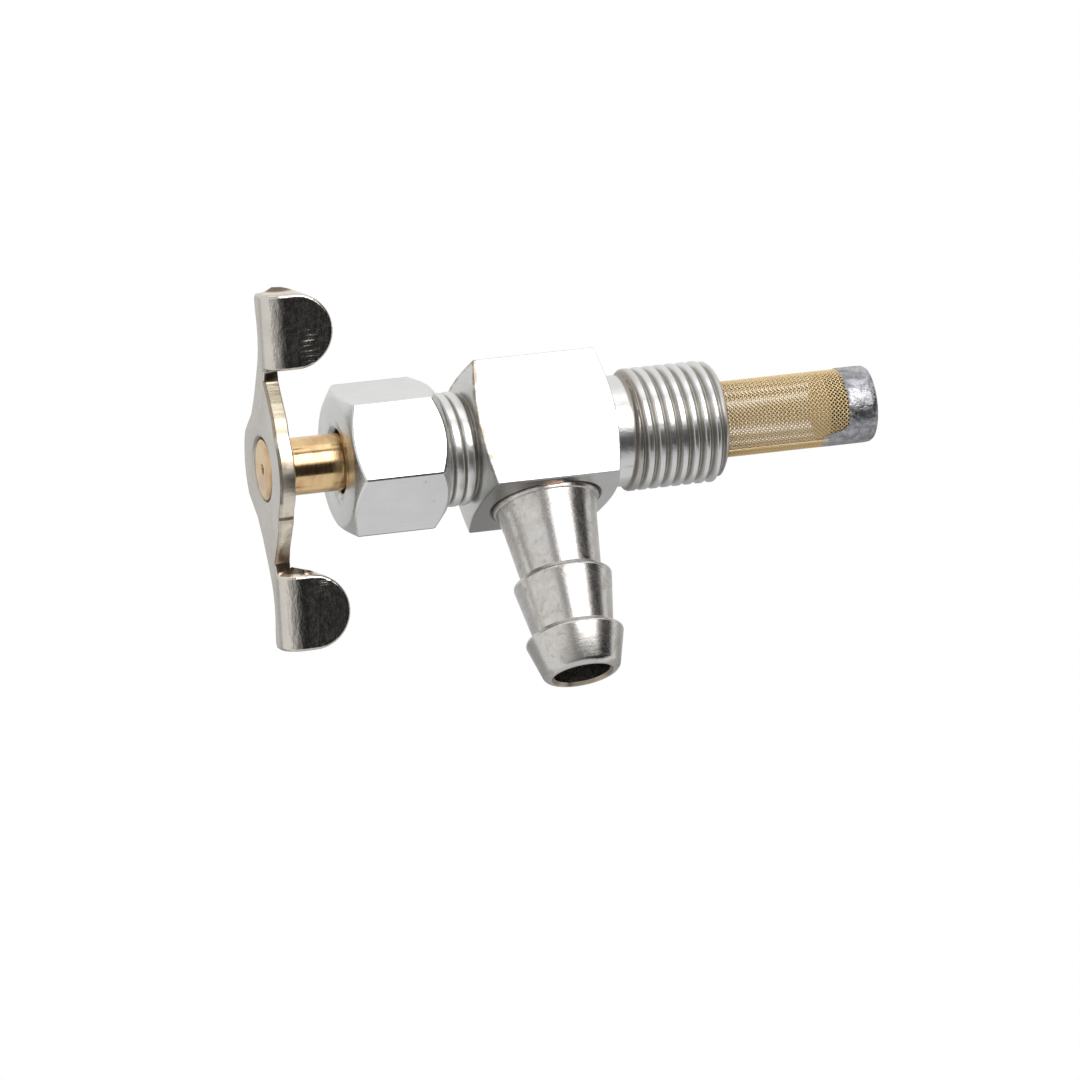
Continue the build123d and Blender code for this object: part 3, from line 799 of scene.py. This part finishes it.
def gland_nut(zinc):
    """Hexagon nut with a bore for the spigot and a smaller hole for the stem."""
    reach = NUT_HALF / cos(radians(30)) + 0.3
    shape = bar_turned_to_cones(
        NUT_OUTER, NUT_INNER, NUT_FACE_RADIUS, NUT_OUTER_CONE, NUT_INNER_CONE, reach
    )
    for side in range(6):
        angle = radians(NUT_TURN + 60 * side)
        outward = Vector((0, cos(angle), sin(angle)))
        cut_flat(shape, outward * NUT_HALF, outward)
    for along, stations in (
        (NUT_OUTER, [(NUT_OUTER, 2.9), (NUT_OUTER + 0.25, NUT_HOLE), (NUT_FLOOR, NUT_HOLE)]),
        (NUT_INNER, [(NUT_INNER, 5.05), (NUT_INNER - 0.3, NUT_BORE), (NUT_FLOOR, NUT_BORE)]),
    ):
        centre = Vector((along, 0, 0))
        hub = [vert for vert in shape.verts if (vert.co - centre).length < 0.01]
        bmesh.ops.delete(shape, geom=hub, context="VERTS")
        carry_on(shape, along, stations)
    on_floor = [face for face in shape.faces if abs(face.calc_center_median().x - NUT_FLOOR) < 0.01]
    floors = [face for face in on_floor if len(face.verts) > 100]
    loops = [edge for face in floors for edge in face.edges]
    bmesh.ops.delete(shape, geom=floors, context="FACES_ONLY")
    bmesh.ops.bridge_loops(shape, edges=loops)
    break_corners(shape, NUT_EDGE_WEAR, 24.0)
    make_piece("hexagon_nut", shape, "tap_body", [zinc], ["gland_nut"], sharp=20)


def brass_spindle(brass):
    """Stem, thread and nose, riveted over in the handle's hub."""
    hollow = [(BALL_X - back, sqrt(NOSE_HOLLOW ** 2 - back ** 2)) for back in (0, 0.8, 1.3, NOSE_HOLLOW)]
    profile = [
        (HANDLE_FRONT + 0.6, 0), (HANDLE_FRONT + 0.55, 0.2), (HANDLE_FRONT + 0.08, 0.45),
        (HANDLE_FRONT, 0.52), (HANDLE_FRONT, 1.7), (HANDLE_FRONT + 0.03, 2.2), (HANDLE_FRONT + 0.12, 2.5),
        (HANDLE_FRONT + 0.35, 2.48), (HANDLE_FRONT + 0.7, RIVET_NECK), (HANDLE_BACK, RIVET_NECK),
        (HANDLE_BACK, STEM_RADIUS - 0.04), (HANDLE_BACK + 0.04, STEM_RADIUS),
        (HANDLE_BACK + 0.72, STEM_RADIUS), (HANDLE_BACK + 0.76, STEM_RADIUS - 0.03),
        (HANDLE_BACK + 0.84, STEM_RADIUS - 0.03), (HANDLE_BACK + 0.88, STEM_RADIUS),
        (SPINDLE_THREAD_START, STEM_RADIUS), (SPINDLE_THREAD_START, SPINDLE_THREAD_ROOT),
        (SPINDLE_THREAD_START + 0.35, SPINDLE_THREAD_RADIUS),
        (SPINDLE_THREAD_END - 0.35, SPINDLE_THREAD_RADIUS), (SPINDLE_THREAD_END, SPINDLE_THREAD_ROOT),
        (SPINDLE_THREAD_END, NOSE_RADIUS), (BALL_X - 0.14, NOSE_RADIUS), (BALL_X + 0.5, 1.63),
        (BALL_X + 0.5, 1.54), *hollow,
    ]
    shape = turned(profile, steps=128)
    make_piece("brass_spindle", shape, "handle_and_spindle", [brass], ["spindle"], sharp=35)


def hose_barb(plate):
    """Outlet with a flared collar and two ridges."""
    under = -BLOCK_HALF
    collar, waist, ridge, nose = 4.475, 3.36, 4.15, 3.15
    profile = [
        (under + 2.55, OUTLET_BORE), (under + 2.55, 3.3), (under + 0.35, 3.3), (under + 0.35, collar),
        (under - 0.1, collar), (under - 0.3, 4.42), (under - 0.37, 4.27),
        (under - 0.5, 4.25), (under - 1.25, 4.07), (under - 1.98, 3.91),
        (under - 6.4, waist), (under - 6.9, ridge), (under - 11.4, waist),
        (under - 11.9, ridge), (under - 15.3, nose), (under - 15.3, 2.6),
        (under - 15.05, OUTLET_BORE),
    ]
    shape = turned(profile, steps=176, upright=True, closed=True)
    rings = [
        (under - 0.1, collar, 0.09), (under - 6.4, waist, 0.05), (under - 6.9, ridge, 0.24),
        (under - 11.4, waist, 0.05), (under - 11.9, ridge, 0.24), (under - 15.3, nose, 0.5),
    ]
    round_rings(shape, rings)
    make_piece("hose_barb", shape, "tap_body", [plate], ["outlet_barb"], sharp=42)


def braze_fillet(braze):
    """Uneven braze round the collar, thick in some places and sunk in others."""
    top = -BLOCK_HALF + RECESS_DEPTH
    outer, inner = 4.74, 4.49
    section = [
        (top, inner), (top, outer), (top - 0.3, outer),
        (top - 0.27, 4.66), (top - 0.2, 4.58), (top - 0.2, inner),
    ]
    shape = turned(section, steps=144, upright=True, closed=True)
    for vert in shape.verts:
        angle = atan2(vert.co.y, vert.co.x - OUTLET_X)
        if vert.co.z < top - 0.05:
            waves = 0.02 * sin(3 * angle + 1.0) + 0.012 * sin(7 * angle) + 0.01 * sin(13 * angle + 2)
            vert.co.z += waves
            proud = smooth(abs(angle - radians(-97)), radians(18), radians(8))
            vert.co.z -= 0.2 * proud * smooth(vert.co.z, top - 0.1, top - 0.2)
    make_piece("braze_fillet", shape, "tap_body", [braze], ["braze_ring"], sharp=60)


def handle_blank():
    """The flat blank's outline, from the near side of the hub and up round one wing."""
    ear_end = BEND_START + BEND_LENGTH + 0.95
    turns = [radians(turn) for turn in range(0, 31, 5)]
    hub_arc = [(HUB_RADIUS * cos(turn), HUB_RADIUS * sin(turn)) for turn in turns]
    wing = [
        (4.42, 3.25), (4.0, 4.7), (3.2, 6.0), (2.3, 7.3), (2.12, 7.56),
        (2.1, 7.7), (2.1, 8.42), (2.2, 8.53), (2.4, EAR_INNER), (ear_end, EAR_INNER),
    ]
    ear_radius = (EAR_OUTER - EAR_INNER) / 2
    ear_middle = (EAR_OUTER + EAR_INNER) / 2
    ear = []
    for step in range(1, 24):
        turn = radians(7.5 * step)
        ear.append((ear_end + ear_radius * sin(turn), ear_middle - ear_radius * cos(turn)))
    far = [
        (ear_end, EAR_OUTER), (1.0, EAR_OUTER), (0.75, 14.63), (0.62, 14.3),
        (0.74, 13.2), (0.92, 12.2), (0.94, 11.2), (0.78, 10.1), (0.5, 9.3), (0.1, 8.5),
        (-0.4, 7.6), (-1.3, 6.05), (-2.5, 4.4), (-3.75, 3.5),
    ]
    hub_far = [(-across, along) for across, along in reversed(hub_arc[1:])]
    upper = hub_arc + wing + ear + far + hub_far
    lower = [(across, -along) for across, along in reversed(upper[1:])]
    return upper + [(-HUB_RADIUS, 0)] + lower


def wing_handle(nickel, sheared):
    """One blank, cut out, rounded at its rims and folded into two ears."""
    shape = bmesh.new()
    outline = polyline(shape, [(across, along, 0) for across, along in handle_blank()], closed=True)[1]
    rim = edges_at(circle(shape, HOLE_FRONT, 96))
    bmesh.ops.triangle_fill(shape, use_beauty=True, edges=outline + rim, normal=(0, 0, -1))
    made = bmesh.ops.extrude_face_region(shape, geom=shape.faces[:])["geom"]
    back = only_verts(made)
    bmesh.ops.translate(shape, vec=(0, 0, SHEET), verts=back)
    for vert in back:
        if hypot(vert.co.x, vert.co.y) < HOLE_FRONT + 0.08:
            vert.co.x *= HOLE_BACK / HOLE_FRONT
            vert.co.y *= HOLE_BACK / HOLE_FRONT
    shape.normal_update()
    for face in shape.faces:
        if abs(face.normal.z) < 0.5:
            face.material_index = 1
    for depth, width in ((0.0, 0.24), (SHEET, 0.12)):
        on_face = {vert for vert in shape.verts if abs(vert.co.z - depth) < 0.001}
        edges = []
        for edge in shape.edges:
            slots = {face.material_index for face in edge.link_faces}
            if len(slots) == 2 and on_face.issuperset(edge.verts):
                edges.append(edge)
        for face in bevel(shape, edges, width, 4, material=0):
            place = face.calc_center_median()
            if place.x > 2.0 and abs(place.y) < EAR_INNER + 0.05 and hypot(place.x, place.y) > 3.5:
                face.material_index = 1
    cuts = [((BEND_START - 0.3 + 0.13 * step, 0, 0), (1, 0, 0)) for step in range(20)]
    cuts += [((0, side * (7.0 + 0.3 * step), 0), (0, 1, 0)) for step in range(27) for side in (1, -1)]
    cuts += [((BEND_START + 2.5 + 0.35 * step, 0, 0), (1, 0, 0)) for step in range(10)]
    for centre, normal in cuts:
        split(shape, centre, normal, clear=False, near=0.0005)
    for vert in shape.verts:
        vert.co = folded(*vert.co)
    to_side = Vector((0, -cos(HANDLE_TURN), -sin(HANDLE_TURN)))
    to_tip = Vector((0, -sin(HANDLE_TURN), cos(HANDLE_TURN)))
    for vert in shape.verts:
        across, along, depth = vert.co
        vert.co = Vector((HANDLE_FRONT + depth, 0, 0)) + to_side * across + to_tip * along
    materials = [nickel, sheared]
    make_piece(
        "wing_handle", shape, "handle_and_spindle", materials, ["handle"], sharp=48
    )


def squeezed(along, far, depth):
    """How far the tight bend squeezes metal out past the ear's ends, on its inner side."""
    past_outer, past_inner = (0.62, 0.12) if along > 0 else (0.2, 0.75)
    inner = (depth / SHEET) ** 1.5 * smooth(far, 3.8, 1.6)
    outer_end = smooth(abs(along), EAR_OUTER - 1.5, EAR_OUTER) * smooth(far, -0.8, 0.5) * past_outer
    inner_end = smooth(abs(along), EAR_INNER + 1.45, EAR_INNER) * smooth(far, 0.0, 0.8) * past_inner
    return inner * (outer_end - inner_end) * (1 if along > 0 else -1)


def folded(across, along, depth):
    """Where a point of the flat blank goes when the ears are folded back."""
    far = across - BEND_START
    along += squeezed(along, far, depth)
    fold = smooth(abs(along), FOLD_START, EAR_INNER)
    if far <= 0 or fold < 0.001:
        return across, along, depth
    radius = BEND_RADIUS / fold
    angle = min(far / radius, fold * pi / 2)
    rest = far - angle * radius
    out = radius + SHEET / 2 - depth
    return (
        BEND_START + out * sin(angle) + rest * cos(angle),
        along,
        SHEET / 2 + radius - out * cos(angle) + rest * sin(angle),
    )


def weave(start, end, radius, crimp):
    """Two sets of wires wound at 45 degrees that pass over and under each other."""
    length = end - start
    crossing = pi * radius / GAUZE_WIRES
    steps = round(length / crossing * 2)
    shape = bmesh.new()
    for hand in (1, -1):
        slant = Matrix.Rotation(hand * -pi / 4, 4, "Y") @ Matrix.Rotation(pi / 2, 4, "Y")
        wire = circle(shape, WIRE_RADIUS, 4, Matrix.Translation((start, radius, 0)) @ slant)
        before = set(shape.verts) - set(wire)
        spin(shape, wire + edges_at(wire), hand * length / radius, steps, rise=length / steps)
        wires = [vert for vert in shape.verts if vert not in before]
        for vert in wires:
            x, y, z = vert.co
            lift = 1 + hand * crimp * cos((x - start) * GAUZE_WIRES / radius) / radius
            vert.co = (x, y * lift, z * lift)
        wires += faces_at(wires)
        gap = 2 * pi / GAUZE_WIRES
        # One wire becomes 3, then 9, 27 and 54
        for copies in (3, 3, 3, 2):
            sector = list(wires)
            for number in range(1, copies):
                copy = bmesh.ops.duplicate(shape, geom=sector)["geom"]
                turn = Matrix.Rotation(gap * number, 3, "X")
                bmesh.ops.rotate(shape, cent=(0, 0, 0), matrix=turn, verts=only_verts(copy))
                wires += [item for item in copy if not isinstance(item, bmesh.types.BMEdge)]
            gap *= copies
    fill_open_ends(shape, 4)
    return shape


def strainer_gauze(brass):
    shape = weave(GAUZE_START, GAUZE_END + 0.05, GAUZE_RADIUS, 0.05)
    make_piece("woven_gauze", shape, "tap_body", [brass], ["strainer_gauze"], sharp=180)


def gauze_lap(brass):
    """The second layer where the gauze is lapped, with the wires that edge it."""
    shape = weave(LAP_START, LAP_END, LAP_RADIUS, 0.03)
    for angle, side in ((LAP_FIRST_ANGLE, -1), (LAP_LAST_ANGLE, 1)):
        turn = radians(angle)
        split(shape, (0, 0, 0), (0, -side * sin(turn), side * cos(turn)))
    fill_open_ends(shape, 8)
    for angle in (LAP_FIRST_ANGLE, LAP_FIRST_ANGLE + 2.6):
        turn = radians(angle)
        seat = Matrix.Translation((LAP_START, LAP_ROD_SEAT * cos(turn), LAP_ROD_SEAT * sin(turn)))
        seat = seat @ Matrix.Rotation(pi / 2, 4, "Y")
        rod = circle(shape, LAP_ROD_RADIUS, 8, seat, filled=True)
        far = bmesh.ops.extrude_face_region(shape, geom=faces_at(rod))["geom"]
        bmesh.ops.translate(shape, vec=(LAP_END - LAP_START, 0, 0), verts=only_verts(far))
    make_piece("gauze_lap", shape, "tap_body", [brass], sharp=60)


def solder_cap(solder):
    """Cast end of the strainer, which has crept back along the gauze on the underside."""
    plug, skirt = 2.92, 3.21
    profile = [
        (GAUZE_END - 1.6, 0), (GAUZE_END - 1.6, plug), (GAUZE_END - 0.02, plug),
        (GAUZE_END - 0.02, skirt - 0.04), *[(GAUZE_END + 0.1 + 0.35 * step, skirt) for step in range(6)],
        (CAP_END - 0.32, skirt - 0.04),
        (CAP_END - 0.12, 3.04), (CAP_END - 0.02, 2.78), (CAP_END, 2.4),
        (CAP_END - 0.03, 1.4), (CAP_END - 0.08, 0.5), (CAP_END - 0.1, 0),
    ]
    shape = turned(profile, steps=180)
    for vert in shape.verts:
        x, y, z = vert.co
        if hypot(y, z) > 3.0 and x < GAUZE_END + 0.8:
            angle = atan2(z, y) % (2 * pi)
            under = smooth(angle, radians(232), radians(252)) * smooth(angle, radians(325), radians(300))
            ragged = 0.04 * sin(5 * angle) + 0.05 * sin(11 * angle + 1) + 0.05 * sin(23 * angle + 2)
            share = 1 - max(0.0, x - GAUZE_END) / 0.8
            vert.co.x -= max(-0.1, ragged + 2.2 * under) * share
    make_piece("solder_cap", shape, "tap_body", [solder], ["strainer_cap"], sharp=60)


def plain_node(name, material):
    """Shows a hidden piece as its CAD node."""
    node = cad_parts[name]
    node.data.materials.clear()
    node.data.materials.append(material)


def build_tap():
    square_block(zinc_plate("block_zinc", brown_at_block_edges, painted_shade_underside))
    on_tank = threaded_zinc("tank_thread_zinc", TANK_RADIUS, TANK_TAPER, TANK_THREAD_DEPTH, -0.3, 1.3)
    tank_stub(on_tank)
    on_gland = threaded_zinc(
        "gland_thread_zinc", SPIGOT_RADIUS, 0.0, GLAND_THREAD_DEPTH, GLAND_FACE, -14.4
    )
    gland_spigot(on_gland)
    gland_nut(zinc_plate("nut_zinc", brown_at_nut_hole))
    brass = turned_brass()
    brass_spindle(brass)
    hose_barb(outlet_plate())
    braze_fillet(copper_braze())
    wing_handle(nickel_sheet(), sheared_edge())
    gauze = gauze_brass()
    strainer_gauze(gauze)
    gauze_lap(gauze)
    solder_cap(cast_solder())
    packing = graphited_packing()
    for name in ("packing_ring_1", "packing_ring_2", "packing_ring_3"):
        plain_node(name, packing)
    for name in ("packing_washer", "gland_collar", "strainer_ferrule"):
        plain_node(name, brass)
    plain_node("valve_ball", ball_steel())


# Camera, at the photograph's angle: its own up and back, the point on the tap's
# axis that its picture was measured from, and how far to the right of it and
# above it the picture's middle is
CAMERA_UP = Vector((0.10786, -0.36022, 0.92661))
CAMERA_BACK = Vector((-0.28273, -0.90468, -0.31878)).normalized()
MEASURED_FROM = Vector((-8.10, 0, 0))
PICTURE_MIDDLE = (0.9555, -8.2158)
CAMERA_DISTANCE = 909.0
PICTURE_WIDTH = 89.25
SENSOR_WIDTH = 36

# Lighting, in metres
CARD_DISTANCE = 0.42
PANEL_DISTANCE = 0.8
FLOOR_HEIGHT = -0.6


def place_camera():
    right = CAMERA_UP.cross(CAMERA_BACK).normalized()
    up = CAMERA_BACK.cross(right)
    target = MEASURED_FROM + right * PICTURE_MIDDLE[0] + up * PICTURE_MIDDLE[1]
    camera = put_in_scene("camera", bpy.data.cameras.new("camera"))
    camera.data.sensor_width = SENSOR_WIDTH
    camera.data.lens = SENSOR_WIDTH * CAMERA_DISTANCE / PICTURE_WIDTH
    camera.data.clip_start, camera.data.clip_end = 0.05, 20
    turn = Matrix((right, up, CAMERA_BACK)).transposed().to_4x4()
    camera.matrix_world = Matrix.Translation((target + CAMERA_BACK * CAMERA_DISTANCE) * MM) @ turn
    bpy.context.scene.camera = camera


def towards(azimuth, elevation):
    """A direction from the tap: azimuth 0 is the front, and grows towards the strainer."""
    around, above = radians(azimuth), radians(elevation)
    return Vector((sin(around) * cos(above), -cos(around) * cos(above), sin(above)))


def flat_material(name, build):
    material = bpy.data.materials.new(name)
    material.use_nodes = True
    material.node_tree.nodes.clear()
    build(material.node_tree)
    return material


def pale_floor_nodes(tree):
    """A pale floor that the camera, metal and glass see as the white background."""
    path = tree.nodes.new("ShaderNodeLightPath")
    seen = path.outputs["Is Camera Ray"]
    for ray in ("Is Glossy Ray", "Is Transmission Ray"):
        either = tree.nodes.new("ShaderNodeMath")
        either.operation = "MAXIMUM"
        tree.links.new(seen, either.inputs[0])
        tree.links.new(path.outputs[ray], either.inputs[1])
        seen = either.outputs[0]
    matt = tree.nodes.new("ShaderNodeBsdfDiffuse")
    matt.inputs["Color"].default_value = (0.82, 0.82, 0.82, 1)
    glow = tree.nodes.new("ShaderNodeEmission")
    mix = tree.nodes.new("ShaderNodeMixShader")
    output = tree.nodes.new("ShaderNodeOutputMaterial")
    tree.links.new(seen, mix.inputs[0])
    tree.links.new(matt.outputs[0], mix.inputs[1])
    tree.links.new(glow.outputs[0], mix.inputs[2])
    tree.links.new(mix.outputs[0], output.inputs[0])


def glowing_card(tree):
    card = tree.nodes.new("ShaderNodeEmission")
    output = tree.nodes.new("ShaderNodeOutputMaterial")
    tree.links.new(card.outputs[0], output.inputs[0])
    return card


def lit_paper(name, shade):
    """Paper of one even shade, as reflections see it."""

    def paint(tree):
        glowing_card(tree).inputs["Color"].default_value = (shade, shade, shade * 1.03, 1)

    return flat_material(name, paint)


def graded_paper(name, axis, stops):
    """Paper whose shade changes along X or Z: (metres, shade) from the lowest up."""

    def paint(tree):
        place = tree.nodes.new("ShaderNodeTexCoord")
        along = tree.nodes.new("ShaderNodeSeparateXYZ")
        tree.links.new(place.outputs["Object"], along.inputs[0])
        level = None
        for (low, first), (high, second) in zip(stops, stops[1:]):
            change = tree.nodes.new("ShaderNodeMapRange")
            for index, value in enumerate((low, high, 0.0, second - first), start=1):
                change.inputs[index].default_value = value
            tree.links.new(along.outputs[axis], change.inputs[0])
            total = tree.nodes.new("ShaderNodeMath")
            tree.links.new(change.outputs[0], total.inputs[0])
            if level is None:
                total.inputs[1].default_value = first
            else:
                tree.links.new(level, total.inputs[1])
            level = total.outputs[0]
        tree.links.new(level, glowing_card(tree).inputs["Color"])

    return flat_material(name, paint)


def put_on_stage(name, shape, material):
    mesh = bpy.data.meshes.new(name)
    shape.to_mesh(mesh)
    shape.free()
    mesh.materials.append(material)
    made = put_in_scene(name, mesh)
    return made


def hang_card(name, azimuths, elevations, material, distance=CARD_DISTANCE):
    """A curved card that only reflections see, as a photographer hangs beside bright metal."""
    shape = bmesh.new()
    low, high = elevations
    rise = (high - low) / 12
    points = [towards(azimuths[0], low + rise * step) * distance for step in range(13)]
    verts, edges = polyline(shape, points)
    spin(shape, verts + edges, radians(azimuths[1] - azimuths[0]), 24, axis=(0, 0, 1))
    put_on_stage(name, shape, material).visible_camera = False


def light_the_stage():
    world = bpy.data.worlds.new("white_studio")
    world.use_nodes = True
    background = world.node_tree.nodes["Background"]
    background.inputs["Color"].default_value = (1, 1, 1, 1)
    background.inputs["Strength"].default_value = 1.0
    bpy.context.scene.world = world
    shape = bmesh.new()
    below = Matrix.Translation((0, 0, FLOOR_HEIGHT))
    bmesh.ops.create_grid(shape, x_segments=1, y_segments=1, size=6, matrix=below)
    put_on_stage("floor", shape, flat_material("pale_floor", pale_floor_nodes))
    slate_stops = [(-0.35, 0.62), (-0.25, 0.5), (-0.17, 0.27), (-0.02, 0.15), (0.08, 0.02)]
    hang_card("card_below", (-72, 78), (-62, -18), graded_paper("slate_paper", "X", slate_stops))
    hang_card("card_beside", (42, 84), (-18, 23), lit_paper("dark_paper", 0.02))
    hang_card("card_left_of_panel", (-30, -9), (-17, 28), lit_paper("narrow_paper", 0.3))
    hang_card("card_above_panel", (-60, 80), (24, 35), lit_paper("grey_paper", 0.34))
    hang_card("strip_above_panel", (-60, 80), (35.5, 58), lit_paper("lit_strip", 1.6))
    hang_card("card_underneath", (0, 360), (-89.9, -63), lit_paper("table_paper", 0.8), distance=0.44)
    backdrop_stops = [
        (-0.30, 0.8), (-0.20, 0.44), (-0.13, 0.5), (0.03, 0.42), (0.11, 0.74), (0.2, 0.84), (0.30, 0.97),
    ]
    hang_card("card_behind", (105, 238), (-62, 46), graded_paper("backdrop_paper", "Z", backdrop_stops))
    panel = bpy.data.lights.new("front_panel", "AREA")
    panel.shape = "RECTANGLE"
    panel.size, panel.size_y = 0.66, 0.58
    panel.energy = 3.0 * pi * panel.size * panel.size_y
    lamp = put_in_scene("front_panel", panel)
    direction = towards(15, 9)
    turn = direction.to_track_quat("Z", "Y").to_matrix().to_4x4()
    lamp.matrix_world = Matrix.Translation(direction * PANEL_DISTANCE) @ turn
    lamp.visible_camera = False


build_tap()
place_camera()
light_the_stage()
bpy.context.scene.view_settings.view_transform = "Standard"
